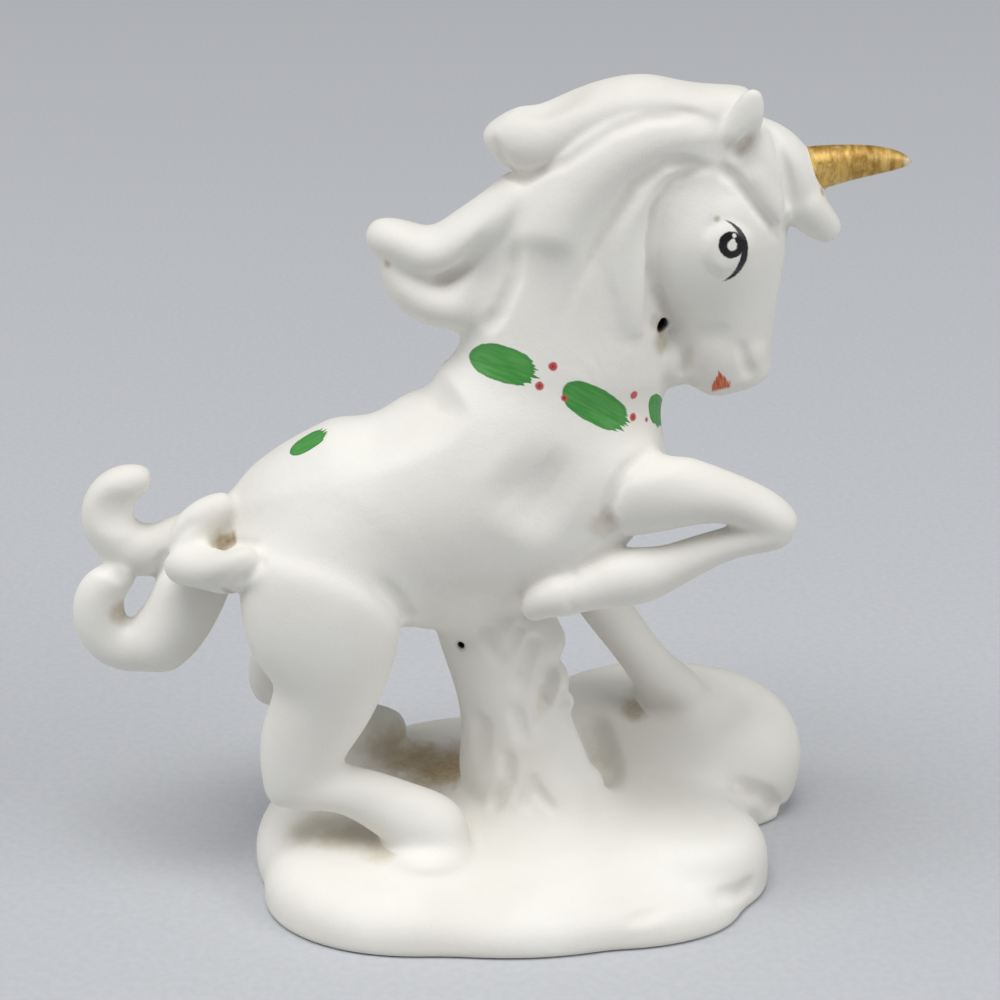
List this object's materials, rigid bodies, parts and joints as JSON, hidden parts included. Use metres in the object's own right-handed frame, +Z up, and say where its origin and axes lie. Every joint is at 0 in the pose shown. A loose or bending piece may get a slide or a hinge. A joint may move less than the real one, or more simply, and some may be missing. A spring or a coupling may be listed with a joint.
{
  "type": "unicorn figurine",
  "caption": "Rearing bisque unicorn with swept mane, curled tail and gold horn on a cloud-shaped base, a shelf ornament painted with holly.",
  "frame": {"origin": "on the flat underside of the base, near the middle of its outline", "axes": "+X the way the unicorn faces, +Y across the body away from the viewer's side of the picture, +Z up"},
  "size_m": [0.1174, 0.0602, 0.1171],
  "materials": {
    "bisque": "unglazed matte white",
    "gold_paint": "gold paint over bisque"
  },
  "bodies": {
    "root": {"base": "bisque", "torso": "bisque", "tree_trunk": "bisque", "neck": "bisque", "head": "bisque", "mane_drape": "bisque", "crest_lock": "bisque", "nape_lock": "bisque", "cheek_lock_near": "bisque", "cheek_lock_far": "bisque", "forelock": "bisque", "ear_near": "bisque", "ear_far": "bisque", "horn": "gold_paint", "foreleg_near": "bisque", "foreleg_far": "bisque", "hind_leg_near": "bisque", "hind_leg_far": "bisque", "tail_upper": "bisque", "tail_loop": "bisque", "tail_side": "bisque"}
  },
  "joints": []
}
